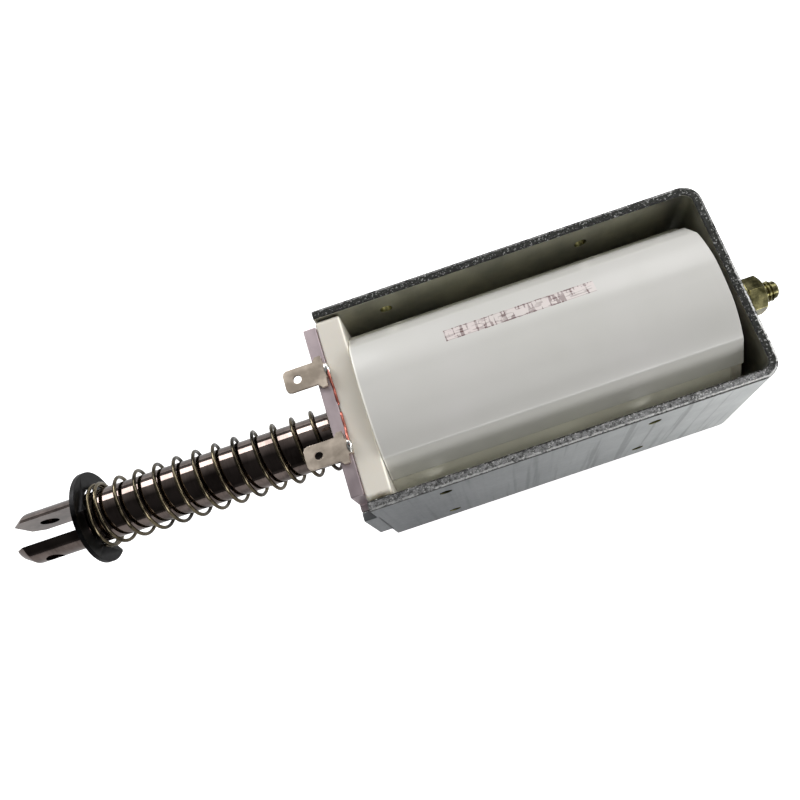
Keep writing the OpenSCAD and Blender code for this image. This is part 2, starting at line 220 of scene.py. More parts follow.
@dataclass(frozen=True)
class Metal(Finish):
    """Plated or bare metal with a grain and a slow change of tone."""

    light: Colour
    dark: Colour
    gloss: tuple[float, float] = (0.22, 0.38)
    grain: float = 900.0
    run: tuple[float, float, float] = (1, 1, 1)
    relief: float = 0.004 * MM
    patches: float = 60.0

    def paint(self, tree: Tree) -> bpy.types.Material:
        """A grain along the run, over broad patches of tone."""
        patch = tree.remap(tree.noise(self.patches, 4, 0.6), 0.35, 0.65)
        grain = tree.noise(self.grain, 2, 0.5, self.run)
        tone = tree.remap(patch * 0.6 + grain * 0.4, 0.25, 0.75)
        return tree.fill(
            Base_Color=tree.mix(tone, self.dark, self.light), Metallic=1.0,
            Roughness=tree.remap(grain * 0.5 + patch * 0.5, 0.2, 0.8, *self.gloss),
            Normal=tree.bump(grain, self.relief))


@dataclass(frozen=True)
class Plastic(Finish):
    """Moulded or soft material with a fine texture and a slow change of tone."""

    light: Colour
    dark: Colour
    gloss: tuple[float, float] = (0.35, 0.5)
    grain: float = 1500.0
    relief: float = 0.01 * MM

    def paint(self, tree: Tree) -> bpy.types.Material:
        """A fine grain over broad patches of tone."""
        patch = tree.noise(45, 3)
        grain = tree.noise(self.grain, 3)
        return tree.fill(
            Base_Color=tree.mix(tree.remap(patch, 0.3, 0.7), self.dark, self.light),
            Roughness=tree.remap(grain, 0.3, 0.7, *self.gloss), Normal=tree.bump(grain, self.relief))


@dataclass(frozen=True)
class ZincStrip(Finish):
    """Zinc plated strip: streaked outside and painted lighter towards the back end, with a painted shadow line
    under the rim; duller and darker inside, in painted shade between the walls.
    """

    outside: Colour
    # Painted light: the tone that the outer faces reach at the back end.
    bright: Colour
    # Painted shade: the tone of the faces between the walls and ahead of the back.
    inside: Colour
    streak: Colour
    # Painted shadow: the dark of the broken line under the rim's outer edge.
    painted_burr_shadow: Colour
    wall_inside: float
    back_inside: float
    rim: float

    def paint(self, tree: Tree) -> bpy.types.Material:
        """Upright streaks and a fine spangle, with the shaded tone between the walls."""
        spangle = tree.noise(700, 4, 0.7)
        lines = tree.noise(480, 2, 0.6, (1, 1, 0.03))
        cloud = tree.remap(tree.noise(55, 4, 0.6), 0.35, 0.65)
        # Painted light: the outer faces ramp from the outside tone to the bright tone towards the back end.
        outer = tree.mix(tree.remap(tree.axis("X"), -5 * MM, 95 * MM), self.outside, self.bright)
        outer = tree.mix(tree.remap(lines, 0.56, 0.68) * 0.35, outer, self.streak)
        outer = tree.mix(cloud * 0.2, outer, self.streak)
        # Painted shadow: a broken dark band on the outer faces just under the rim, as cast by the burred edge.
        below = tree.axis("Z") + tree.noise(600, 3, 0.7) * (0.9 * MM)
        tear = tree.remap(below, self.rim + 0.1 * MM, self.rim + 0.2 * MM)
        outer = tree.mix(tear * 0.9, outer, self.painted_burr_shadow)
        # Painted shade: faces between the walls take the inside tone.
        inner = tree.mix(cloud * 0.5, self.inside, self.streak)
        within = (abs(tree.axis("Y")) < self.wall_inside) * (tree.axis("X") < self.back_inside)
        return tree.fill(
            Base_Color=tree.mix(within, outer, inner), Metallic=1.0,
            Roughness=tree.remap(spangle * 0.6 + lines * 0.4, 0.3, 0.7, 0.3, 0.48),
            Normal=tree.bump(spangle + lines, 0.006 * MM))


@dataclass(frozen=True)
class ShearedEdge(Finish):
    """The rough broken edge of sheared strip: dark and mottled, with painted shade towards the far wall and the
    back, painted glints and a painted highlight along the burred outer edge.
    """

    # Painted light and shade: the lit tone of the near rim and the shaded tone of the far and back rims.
    near: Colour
    far: Colour
    dark: Colour
    # Painted highlight: the pale colour of the glints and of the line along the outer edge.
    painted_sparkle: Colour
    back: float
    side: float
    sheet: float = 2.5 * MM
    bend: float = 5 * MM

    def outwards(self, tree: Tree) -> Sock:
        """How far a point lies outwards from the strip's inner face, from 0 to 1."""
        past = (tree.axis("X") - (self.back - self.bend), abs(tree.axis("Y")) - (self.side - self.bend))
        along, across = (tree.node("ShaderNodeMath", {"operation": "MAXIMUM"}, {0: p, 1: 0.0}) for p in past)
        reach = tree.node("ShaderNodeMath", {"operation": "SQRT"}, {0: along * along + across * across})
        return (reach - (self.bend - self.sheet)) / self.sheet

    def paint(self, tree: Tree) -> bpy.types.Material:
        """Coarse tearing, fine painted glints and a broken painted highlight along the outer edge, over painted
        shade on the far and back rims.
        """
        tear = tree.noise(900, 6, 0.75, (1, 0.7, 0.7))
        mottle = tree.remap(tree.noise(1100, 5, 0.75), 0.4, 0.6)
        # Painted glints: fine pale specks in the base colour.
        painted_sparkle = tree.remap(tree.noise(2000, 3, 0.6), 0.58, 0.66)
        place = self.outwards(tree) + tree.noise(800, 3, 0.6) * 0.24 - 0.12
        # Painted highlight: a pale broken line along the burred outer edge.
        burr_highlight = tree.remap(place, 0.72, 0.8) * tree.remap(place, 0.9, 0.98, 1.0, 0.0)
        root = tree.remap(place, 0.1, 0.2, 1.0, 0.0)
        # Painted shade: the rim goes from the near tone to the far tone across to the far wall and towards the
        # back end.
        side = tree.remap(tree.axis("Y"), -0.5 * self.side, 0.5 * self.side)
        rear = tree.remap(tree.axis("X") - self.back, -5 * MM, -2 * MM)
        shaded = tree.remap(side + rear, 0.0, 1.0)
        body = tree.mix(mottle * 0.85, tree.mix(shaded, self.near, self.far), self.dark)
        body = tree.mix(root, body, self.dark)
        broken = tree.remap(tree.noise(420, 3, 0.7), 0.4, 0.5)
        # Painted glints and highlight, weaker where the rim is painted as shaded.
        bright = tree.remap(painted_sparkle * tree.remap(shaded, 0.0, 1.0, 0.68, 0.34)
                            + burr_highlight * broken * tree.remap(side, 0.0, 1.0, 0.9, 0.2), 0.0, 1.0)
        return tree.fill(
            Base_Color=tree.mix(bright, body, self.painted_sparkle), Metallic=tree.remap(bright, 0.0, 1.0, 0.9, 1.0),
            Roughness=tree.remap(bright, 0.0, 1.0, 0.5, 0.28), Normal=tree.bump(tear, 0.12 * MM))


@dataclass(frozen=True)
class StampedCover(Finish):
    """Smooth white cover with a row of worn ink blocks along its crown and a painted highlight along its front
    edge.
    """

    light: Colour
    dark: Colour
    # Painted highlight: the pale colour of the front edge.
    painted_edge_light: Colour
    ink: Colour
    blush: Colour
    start: tuple[float, float]
    front: float
    length: float = 40 * MM
    height: float = 3.4 * MM

    def paint(self, tree: Tree) -> bpy.types.Material:
        """Plain ink strokes of mixed width inside one strip, worn away in places, and a painted highlight along
        the front edge.
        """
        x, y = tree.axis("X") - self.start[0], tree.axis("Y") - self.start[1]
        strip = (abs(x - self.length / 2) < self.length / 2) * (abs(y) < self.height / 2)
        upright = tree.remap(tree.noise(1300, 1, 0.4, (1, 0.16, 0.0)), 0.54, 0.58)
        level = tree.remap(tree.noise(1100, 1, 0.4, (0.3, 1.5, 0.0)), 0.55, 0.59)
        worn = tree.remap(tree.noise(300, 3, 0.7), 0.3, 0.52, 0.25)
        frame_line = tree.remap(abs(abs(y) - self.height * 0.46), 0.0, 0.22 * MM, 0.7, 0.0)
        marks = strip * tree.remap(upright * 0.75 + level * 0.6 + frame_line, 0.3, 1.0) * worn
        blush = strip * tree.remap(tree.noise(120, 2), 0.3, 0.7, 0.16, 0.34)
        cloud = tree.remap(tree.noise(30, 3), 0.3, 0.7)
        # Painted highlight: a pale strip along the front edge, which also lifts the shade where the cover meets
        # the flange.
        lip = tree.remap(tree.axis("X") - self.front, 0.25 * MM, 0.6 * MM, 0.9, 0.0)
        clean = tree.mix(lip, tree.mix(cloud, self.dark, self.light), self.painted_edge_light)
        clean = tree.mix(blush, clean, self.blush)
        grain = tree.noise(160, 2, 0.4)
        return tree.fill(
            Base_Color=tree.mix(marks * 0.95, clean, self.ink),
            Roughness=tree.remap(grain, 0.3, 0.7, 0.3, 0.4), Normal=tree.bump(grain, 0.02 * MM),
            Coat_Weight=0.4, Coat_Roughness=0.22)


@dataclass(frozen=True)
class StainedNylon(Finish):
    """Natural nylon with a painted highlight along its rear top edge and a brown flux stain on one top corner.
    """

    light: Colour
    dark: Colour
    # Painted highlight: the pale colour along an edge.
    painted_edge_light: Colour
    stain: Colour
    stain_at: tuple[float, float]
    # Where the painted highlight begins, as x and z.
    painted_edge_light_from: tuple[float, float]
    reach: float = 3.2 * MM

    def paint(self, tree: Tree) -> bpy.types.Material:
        """A soft cloud of tone, one ragged stain and a painted highlight along the rear top edge."""
        x, y = tree.axis("X") - self.stain_at[0], tree.axis("Y") - self.stain_at[1]
        away = abs(x) * 0.45 + abs(y) * 1.3 + tree.noise(420, 3, 0.6) * self.reach
        mask = tree.remap(away, self.reach * 0.75, self.reach * 1.25, 1.0, 0.0)
        cloud = tree.remap(tree.noise(50, 3), 0.3, 0.7)
        grain = tree.noise(1400, 3)
        # Painted highlight: a pale line along the rear top edge.
        crest = (tree.remap(tree.axis("X") - self.painted_edge_light_from[0], 0.0, 0.3 * MM)
                 * tree.remap(tree.axis("Z") - self.painted_edge_light_from[1], 0.0, 0.4 * MM))
        clean = tree.mix(crest * 0.85, tree.mix(cloud, self.dark, self.light), self.painted_edge_light)
        return tree.fill(
            Base_Color=tree.mix(mask * 0.8, clean, self.stain),
            Roughness=tree.remap(grain, 0.3, 0.7, 0.36, 0.5), Normal=tree.bump(grain, 0.01 * MM),
            Subsurface_Weight=0.15, Subsurface_Radius=(0.004, 0.003, 0.002), Subsurface_Scale=0.5)


@dataclass(frozen=True)
class WoundCopper(Finish):
    """Enamelled wire with white tape over both ends of the winding."""

    light: Colour
    dark: Colour
    tape: Colour
    ends: tuple[float, float]

    def paint(self, tree: Tree) -> bpy.types.Material:
        """Fine turns of wire between two taped end faces."""
        taped = (tree.axis("X") < self.ends[0] + 0.05 * MM) + (tree.axis("X") > self.ends[1] - 0.05 * MM)
        turns = tree.noise(900, 2, 0.5, (1, 0.05, 0.05))
        wire = tree.mix(tree.remap(turns, 0.35, 0.65), self.dark, self.light)
        return tree.fill(Base_Color=tree.mix(taped, wire, self.tape), Metallic=1.0 - taped,
                         Roughness=tree.remap(turns, 0.3, 0.7, 0.3, 0.45), Normal=tree.bump(turns, 0.02 * MM))


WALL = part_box("frame")[1]
# The bright tone is painted light, the dark line under the rim is painted shadow and the inside tone is painted
# shade.
ZINC = ZincStrip("zinc_steel", tint(147, 150, 153), tint(230, 233, 232), tint(194, 194, 180),
                 tint(104, 107, 110), tint(20, 20, 22), 25.6 * MM, WALL.x - 2.4 * MM, WALL.z - 0.62 * MM)
# The near and far tones are painted lit and shaded tones of one edge; the pale colour is painted glints and
# highlight.
SHEARED = ShearedEdge("zinc_steel", tint(148, 148, 148), tint(57, 58, 55), tint(38, 38, 38),
                      tint(244, 244, 242), WALL.x, WALL.y)
# Painted shade: a dark olive for the bores of the side holes, standing in for the shade inside them.
SHADED_HOLE_BORE = Metal("zinc_steel", tint(150, 146, 100), tint(58, 56, 34), (0.25, 0.4), 1200)
PLATE = Metal("plate_steel", tint(203, 189, 192), tint(182, 168, 172), (0.4, 0.52), 500, (1, 0.08, 1))
# The third colour is a painted highlight along the rear top edge.
NYLON = StainedNylon("nylon", tint(220, 215, 205), tint(213, 207, 195), tint(255, 250, 236), tint(96, 78, 44),
                     (-8.6 * MM, -25.6 * MM), (-6.4 * MM, WALL.z - 1.2 * MM))
# The third colour is a painted highlight along the front edge.
COVER = StampedCover("cover_plastic", tint(207, 205, 202), tint(200, 199, 194), tint(250, 247, 238),
                     tint(84, 44, 46), tint(240, 212, 212), (18.8 * MM, 7.9 * MM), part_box("upper_cover")[0].x)
LOWER_COVER = Plastic("cover_plastic", tint(234, 232, 228), tint(226, 224, 218), (0.3, 0.4), 200)
TAPE = Plastic("white_tape", tint(238, 236, 224), tint(228, 225, 212), (0.4, 0.55), 500, 0.02 * MM)
COPPER = Metal("copper_wire", tint(206, 128, 114), tint(160, 88, 78), (0.25, 0.4), 900)
WINDING = WoundCopper("copper_wire", tint(196, 104, 72), tint(132, 60, 44), tint(238, 236, 224),
                      tuple(corner.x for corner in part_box("coil_winding")))
BRASS = Metal("brass_tube", tint(226, 192, 120), tint(196, 158, 88), (0.25, 0.4))
CORE = Metal("core_steel", tint(190, 190, 192), tint(150, 150, 150), (0.25, 0.4), 1400, (1, 0.1, 0.1))
NICKEL = Metal("nickel_steel", tint(126, 114, 109), tint(88, 78, 74), (0.03, 0.09), 2600, (1, 0.12, 0.12),
               0.0004 * MM, 110)
YELLOW_ZINC = Metal("yellow_zinc", tint(154, 148, 106), tint(70, 68, 42), (0.1, 0.22), 500, (1, 1, 1),
                    0.008 * MM, 300)
BLACK = Metal("black_oxide", tint(44, 44, 45), tint(18, 18, 18), (0.3, 0.5), 700, (1, 1, 1), 0.01 * MM, 200)
SPRING_WIRE = Metal("spring_steel", tint(122, 112, 90), tint(44, 40, 33), (0.12, 0.25), 900)
TINNED = Metal("tinned_brass", tint(218, 205, 190), tint(182, 169, 154), (0.4, 0.55), 420, (0.08, 1, 1),
               0.006 * MM, 160)
SOLDER = Metal("solder", tint(226, 226, 224), tint(150, 148, 140), (0.08, 0.24), 600, (1, 1, 1),
               0.04 * MM, 500)
RUBBER = Plastic("rubber", tint(34, 34, 34), tint(24, 24, 24), (0.6, 0.8), 900, 0.03 * MM)
FOAM = Plastic("foam_pad", tint(62, 58, 58), tint(48, 45, 45), (0.75, 0.9), 700, 0.06 * MM)


# ---------------------------------------------------------------- mesh tools


def start_face(bm: Mesh, corners: Iterable[Vector]) -> Face:
    """Makes one face from a few corners."""
    return bm.faces.new([bm.verts.new(c) for c in corners])


def push(bm: Mesh, face: Face, offset: Vector) -> Face:
    """Extrudes a face by an offset.

    Args:
        bm: The mesh.
        face: The face that moves.
        offset: How far it goes.

    Returns:
        The face at the new end.
    """
    made = bmesh.ops.extrude_face_region(bm, geom=[face])["geom"]
    bmesh.ops.translate(bm, verts=[g for g in made if isinstance(g, Vert)], vec=offset)
    return next(g for g in made if isinstance(g, Face))


def swing(bm: Mesh, face: Face, centre: Vector, axis: Vector, degrees: float,
          steps: int, climb: float = 0.0) -> Face:
    """Sweeps a face round an axis, and along it where climb is given.

    Args:
        bm: The mesh.
        face: The face that is swept.
        centre: A point on the axis.
        axis: The axis to turn about.
        degrees: The whole turn.
        steps: The number of steps.
        climb: How far the sweep goes along the axis in all.

    Returns:
        The face at the new end.
    """
    made = bmesh.ops.spin(bm, geom=[face], cent=centre, axis=axis, dvec=axis * (climb / steps),
                          angle=math.radians(degrees), steps=steps, use_duplicate=False)["geom_last"]
    return next(g for g in made if isinstance(g, Face))


def revolve(profile: Profile, closed: bool = False, steps: int = 96) -> Mesh:
    """Turns a profile about the bore.

    Args:
        profile: Points of (x, radius), in order.
        closed: Whether the last point joins the first, as in a ring.
        steps: Faces round the bore.

    Returns:
        A closed mesh.
    """
    bm = bmesh.new()
    points = [bm.verts.new((x, radius, BORE_Z)) for x, radius in profile]
    edges = [bm.edges.new(pair) for pair in zip(points, points[1:])]
    if closed:
        edges.append(bm.edges.new((points[-1], points[0])))
    bmesh.ops.spin(bm, geom=points + edges, cent=BORE, axis=ALONG, dvec=(0, 0, 0),
                   angle=math.tau, steps=steps, use_merge=True, use_duplicate=False)
    tidy(bm)
    return bm


def ring(x1: float, x2: float, inner: float, outer: float, bevel: float = 0.2 * MM,
         steps: int = 96) -> Mesh:
    """A ring or washer about the bore with broken edges."""
    return revolve([(x1, inner), (x1, outer - bevel), (x1 + bevel, outer), (x2 - bevel, outer),
                    (x2, outer - bevel), (x2, inner)], True, steps)


def hoop(ends: tuple[float, float], inner: float, outer: float, start: float, sweep: float, steps: int,
         centre: Vector = BORE) -> Mesh:
    """Sweeps a rectangle part of the way round an axis along X.

    Args:
        ends: The hoop's ends along X.
        inner: Its inner radius.
        outer: Its outer radius.
        start: The angle where it starts, in degrees.
        sweep: The angle that it covers.
        steps: The number of steps.
        centre: A point on the axis.

    Returns:
        A closed mesh.
    """
    bm = bmesh.new()
    turn = Matrix.Translation(centre) @ Matrix.Rotation(math.radians(start), 4, ALONG)
    corners = ((ends[0], inner), (ends[0], outer), (ends[1], outer), (ends[1], inner))
    face = start_face(bm, [turn @ Vector((x, radius, 0)) for x, radius in corners])
    swing(bm, face, centre, ALONG, sweep, steps)
    tidy(bm)
    return bm


def tidy(bm: Mesh) -> None:
    """Joins doubles and turns the faces outwards."""
    bmesh.ops.remove_doubles(bm, verts=bm.verts, dist=1e-7)
    bmesh.ops.dissolve_degenerate(bm, edges=bm.edges, dist=1e-7)
    bmesh.ops.recalc_face_normals(bm, faces=bm.faces)


def bar(x1: float, x2: float, radius: float, steps: int = 48) -> Mesh:
    """A plain bar along the bore, for cutting."""
    return revolve([(x1, 0), (x1, radius), (x2, radius), (x2, 0)], False, steps)


def block(first: Point, second: Point) -> Mesh:
    """A box between two opposite corners."""
    bm = bmesh.new()
    centre = (Vector(first) + Vector(second)) / 2
    size = [abs(length) for length in Vector(second) - Vector(first)]
    bmesh.ops.create_cube(bm, size=1, matrix=Matrix.Translation(centre) @ Matrix.Diagonal((*size, 1)))
    return bm


def drill(at: Vector, axis: Vector, radius: float, depth: float, steps: int = 32) -> Mesh:
    """A round cutter of that depth, centred on a point."""
    bm = bmesh.new()
    turn = axis.to_track_quat("Z", "X").to_matrix().to_4x4()
    bmesh.ops.create_cone(bm, cap_ends=True, segments=steps, radius1=radius, radius2=radius, depth=depth,
                          matrix=Matrix.Translation(at) @ turn)
    return bm


def add(name: str, data: Any) -> bpy.types.Object:
    """Puts a new object with that mesh, curve, lamp or camera into the scene."""
    made = bpy.data.objects.new(name, data)
    bpy.context.scene.collection.objects.link(made)
    return made


def joined(*parts: Mesh) -> Mesh:
    """Puts several meshes into one and frees them."""
    whole = bmesh.new()
    for part in parts:
        mesh = bpy.data.meshes.new("part")
        part.to_mesh(mesh)
        whole.from_mesh(mesh)
        bpy.data.meshes.remove(mesh)
        part.free()
    return whole


def carve(bm: Mesh, tool: Mesh, operation: str = "DIFFERENCE") -> Mesh:
    """Cuts a mesh with another and frees both.

    Args:
        bm: The mesh that is cut.
        tool: The cutter.
        operation: DIFFERENCE, UNION or INTERSECT.

    Returns:
        The result.
    """
    pair = []
    for part in (bm, tool):
        mesh = bpy.data.meshes.new("carve")
        part.to_mesh(mesh)
        part.free()
        pair.append(add("carve", mesh))
    cut = pair[0].modifiers.new("cut", "BOOLEAN")
    cut.operation, cut.object, cut.solver = operation, pair[1], "EXACT"
    bpy.context.view_layer.update()
    result = bmesh.new()
    result.from_object(pair[0], bpy.context.evaluated_depsgraph_get())
    for item in pair:
        bpy.data.meshes.remove(item.data)
    bmesh.ops.remove_doubles(result, verts=result.verts, dist=1e-6)
    return result


def bevel(bm: Mesh, edges: list[Edge], width: float, segments: int) -> None:
    """Rounds a few edges of a mesh."""
    bmesh.ops.bevel(bm, geom=edges, offset=width, offset_type="OFFSET", segments=segments, profile=0.5,
                    affect="EDGES", material=-1, clamp_overlap=True)


def soften(bm: Mesh, width: float, segments: int = 2, degrees: float = 40.0,
           chosen: Callable[[Edge], bool] | None = None) -> None:
    """Rounds the sharp edges of a mesh.

    Args:
        bm: The mesh.
        width: The size of the bevel.
        segments: Its number of steps.
        degrees: Edges sharper than this are rounded.
        chosen: A further test of an edge.
    """
    bmesh.ops.dissolve_limit(bm, angle_limit=math.radians(0.5), verts=bm.verts, edges=bm.edges,
                             delimit={"MATERIAL"})
    edges = [e for e in bm.edges if len(e.link_faces) == 2
             and e.calc_face_angle(0.0) > math.radians(degrees) and (chosen is None or chosen(e))]
    bevel(bm, edges, width, segments)


def publish(bm: Mesh, name: str, finishes: Sequence[Finish], body: Body,
            nodes: Sequence[str] = (), smooth: float = 32.0, weighted: bool = False) -> bpy.types.Object:
    """Args:
        bm: Its mesh, which is freed.
        name: The piece's name.
        finishes: Its finishes, in the order of the faces' material numbers.
        body: The body that it rides on.
        nodes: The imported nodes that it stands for.
        smooth: Edges sharper than this many degrees stay sharp.
        weighted: Whether broad faces hold the shading of the bevels beside them.

    Returns:
        The object.
    """
    mesh = bpy.data.meshes.new(name)
    bm.to_mesh(mesh)
    bm.free()
    mesh.shade_smooth()
    mesh.set_sharp_from_angle(angle=math.radians(smooth))
    for finish in finishes:
        mesh.materials.append(finish.material())
    piece = add(name, mesh)
    if weighted:
        piece.modifiers.new("even_shading", "WEIGHTED_NORMAL").keep_sharp = True
    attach(piece, body.value)
    if nodes:
        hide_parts(*nodes)
    log.info("%s: %d faces, stands for %s", name, len(mesh.polygons), ", ".join(nodes) or "nothing")
    return piece


def dress(node: str, finish: Finish) -> None:
    """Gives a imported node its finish."""
    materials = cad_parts[node].data.materials
    materials.clear()
    materials.append(finish.material())
    log.info("%s: dressed in %s", node, finish.slot)


def hex_nut(x1: float, x2: float, flats: float, bore_r: float) -> Mesh:
    """A hexagon nut about the bore with turned corners and a countersunk bore.

    Args:
        x1: The front face.
        x2: The back face.
        flats: The size across the flats.
        bore_r: The radius of the bore.

    Returns:
        The nut's mesh.
    """
    corner_r, face_r = flats / math.sqrt(3), flats / 2 * 0.97
    drop = (corner_r - face_r) * math.tan(math.radians(30))
    turn = Matrix.Rotation(math.radians(30), 4, ALONG) @ Matrix.Rotation(math.radians(90), 4, "Y")
    bm = bmesh.new()
    bmesh.ops.create_cone(bm, cap_ends=True, segments=6, radius1=corner_r, radius2=corner_r, depth=x2 - x1,
                          matrix=Matrix.Translation(BORE + ALONG * (x1 + x2) / 2) @ turn)
    over = corner_r * 1.001
    bm = carve(bm, revolve([(x1, 0), (x1, face_r), (x1 + drop, over), (x2 - drop, over), (x2, face_r),
                            (x2, 0)]), "INTERSECT")
    sink, past = 0.5 * MM, 1 * MM
    wide = bore_r + sink
    bm = carve(bm, revolve([(x1 - past, 0), (x1 - past, wide + past), (x1, wide), (x1 + sink, bore_r),
                            (x2 - sink, bore_r), (x2, wide), (x2 + past, wide + past), (x2 + past, 0)]))
    soften(bm, 0.16 * MM, 2, 50)
    return bm


def nut(node: str, flats: float, bore_r: float, body: Body) -> None:
    """Makes a packed nut anew."""
    low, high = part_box(node)
    publish(hex_nut(low.x, high.x, flats, bore_r), node + "_piece", [YELLOW_ZINC], body, [node], 20, True)


def washer(node: str, name: str, bore_r: float, edge: float, finish: Finish, body: Body) -> None:
    """Makes a packed washer anew, with broken edges."""
    low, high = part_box(node)
    publish(ring(low.x, high.x, bore_r, high.y, edge), name, [finish], body, [node])


# ---------------------------------------------------------------- sub-assemblies


@dataclass
class BentFrame:
    """The steel strip, bent into a U, with tapped side holes and a hole for the core's spigot."""

    sheet: float = 2.5 * MM
    bend: float = 2.5 * MM
    edge: float = 0.28 * MM
    hole_r: float = 1.65 * MM
    hole_pitch: tuple[float, float] = (56 * MM, 30 * MM)
    first_hole: float = 19 * MM
    spigot_r: float = 6.1 * MM
    side_drill: float = 70 * MM
    back_drill: float = 12 * MM
    tenon: float = 24 * MM
    tenon_root: float = 0.5 * MM

    def strip(self) -> Mesh:
        """Sweeps the strip's section from one open end, round both bends, to the other."""
        low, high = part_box("frame")
        outer = self.bend + self.sheet
        bm = bmesh.new()
        end = start_face(bm, [Vector((PLATE_BACK, y, z)) for y, z in (
            (low.y, low.z), (low.y + self.sheet, low.z), (low.y + self.sheet, high.z), (low.y, high.z))])
        end = push(bm, end, ALONG * (high.x - outer - PLATE_BACK))
        end = swing(bm, end, Vector((high.x - outer, low.y + outer, 0)), UP, 90, 10)
        end = push(bm, end, Vector((0, high.y - low.y - 2 * outer, 0)))
        end = swing(bm, end, Vector((high.x - outer, high.y - outer, 0)), UP, 90, 10)
        push(bm, end, ALONG * (PLATE_BACK - high.x + outer))
        tidy(bm)
        return bm

    def tenons(self) -> Mesh:
        """The two tongues that reach through the front plate."""
        low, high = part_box("frame")
        back, half = PLATE_BACK + self.tenon_root, self.tenon / 2
        return joined(*[block((low.x, y, BORE_Z - half), (back, y + self.sheet, BORE_Z + half))
                        for y in (low.y, high.y - self.sheet)])

    def build(self) -> None:
        """Makes the frame, drills it, breaks its edges and dresses it."""
        low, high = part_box("frame")
        bm = carve(self.strip(), self.tenons(), "UNION")
        first = PLATE_BACK + self.first_hole
        spots = [(first + i * self.hole_pitch[0], BORE_Z + side * self.hole_pitch[1] / 2)
                 for i in (0, 1) for side in (-1, 1)]
        holes = [drill(Vector((x, 0, z)), ACROSS, self.hole_r, self.side_drill) for x, z in spots]
        holes.append(drill(BORE + ALONG * high.x, ALONG, self.spigot_r, self.back_drill, 64))
        bm = carve(bm, joined(*holes))
        soften(bm, self.edge)
        for vert in bm.verts:
            vert.co.y = min(max(vert.co.y, low.y), high.y)
        for face in bm.faces:
            rim = min(abs(v.co.z - z) for v in face.verts for z in (low.z, high.z)) < 1e-6
            face.material_index = int(rim and abs(face.normal.z) > 0.5)
            centre = face.calc_center_median()
            # Painted shade: faces inside the side holes take the dark hole finish.
            if abs(face.normal.y) < 0.5 and any(
                    math.hypot(centre.x - x, centre.z - z) < self.hole_r + 0.05 * MM for x, z in spots):
                face.material_index = 2
        publish(bm, "bent_frame", [ZINC, SHEARED, SHADED_HOLE_BORE], Body.FIXED, ["frame"], weighted=True)


@dataclass
class FrontPlate:
    """The end plate with cut corners, open slots for the frame's tenons and a bore for the sleeve."""

    corner_w: float = 4.5 * MM
    corner_h: float = 11 * MM
    slot_depth: float = 2.6 * MM
    slot_height: float = 24.2 * MM
    slot_past: float = 2.7 * MM
    past: float = 1 * MM
    play: float = 0.05 * MM
    edge: float = 0.35 * MM

    def build(self) -> None:
        """Cuts the plate from a block and breaks its edges."""
        low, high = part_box("front_plate")
        front, back, rise = low.x - self.past, high.x + self.past, high.z - BORE_Z
        corners = [block((front, side * (high.y - self.corner_w), BORE_Z + up * (rise - self.corner_h)),
                         (back, side * high.y * 2, BORE_Z + up * high.z))
                   for side in (-1, 1) for up in (-1, 1)]
        slots = [block((front, side * (high.y - self.slot_depth), BORE_Z - self.slot_height / 2),
                       (back, side * (high.y + self.slot_past), BORE_Z + self.slot_height / 2))
                 for side in (-1, 1)]
        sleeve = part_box("guide_sleeve")
        bore = bar(front, back, (sleeve[1].y - sleeve[0].y) / 2 + self.play, 96)
        bm = carve(carve(block(low, high), joined(*slots, bore)), joined(*corners))
        soften(bm, self.edge)
        publish(bm, "front_plate_piece", [PLATE], Body.FIXED, ["front_plate"], weighted=True)


@dataclass
class Bobbin:
    """The nylon moulding: a square front flange, a tube and a round rear flange."""

    flange: float = 6.7 * MM
    corner: float = 1.5 * MM
    edge: float = 0.6 * MM
    drop: float = 0.5 * MM
    tube_r: float = 9.5 * MM
    bore_r: float = 8 * MM
    rear_flange: float = 3 * MM
    lip: float = 0.3 * MM
    root: float = 1 * MM

    def front_flange(self) -> Mesh:
        """The flange as a block with round corners and soft edges."""
        low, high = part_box("bobbin")
        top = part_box("frame")[1].z - self.drop
        bm = block((low.x, low.y, 2 * BORE_Z - top), (low.x + self.flange, high.y, top))
        along = [e for e in bm.edges if abs(e.verts[0].co.x - e.verts[1].co.x) > 1 * MM]
        bevel(bm, along, self.corner, 5)
        soften(bm, self.edge, 3, 60)
        return bm

    def build(self) -> None:
        """Joins the flange, the tube and the rear flange, and bores them."""
        low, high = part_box("bobbin")
        bm = self.front_flange()
        rear_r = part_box("coil_wrap")[1].y - 0.1 * MM
        front, rear, lip = low.x + self.root, high.x - self.rear_flange, self.lip
        spool = revolve([
            (front, self.bore_r), (front, self.tube_r), (rear, self.tube_r), (rear, rear_r - lip),
            (rear + lip, rear_r), (high.x - lip, rear_r), (high.x, rear_r - lip),
            (high.x, self.bore_r)], True)
        bm = carve(bm, spool, "UNION")
        bm = carve(bm, bar(low.x - 1 * MM, high.x - 5 * MM, self.bore_r, 96))
        publish(bm, "bobbin_moulding", [NYLON], Body.FIXED, ["bobbin"], 40, True)


@dataclass
class Coil:
    """The winding under its tape, with the tape's outer end lying as a low step."""

    step: float = 0.12 * MM
    lap_at: float = 205.0
    lap_sweep: float = 70.0
    lap_inset: float = 0.4 * MM
    play: float = 0.02 * MM

    def build(self) -> None:
        """Wraps the tape as one sheet that ends on top of itself."""
        low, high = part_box("coil_wrap")
        inner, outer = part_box("coil_winding")[1].y + self.play, high.y - self.step
        sheet = hoop((low.x, high.x), inner, outer, self.lap_at, 359.9, 120)
        lap = hoop((low.x + self.lap_inset, high.x - self.lap_inset), outer - 0.05 * MM, high.y,
                   self.lap_at, self.lap_sweep, 24)
        publish(joined(sheet, lap), "coil_tape", [TAPE], Body.FIXED, ["coil_wrap"])
        dress("coil_winding", WINDING)


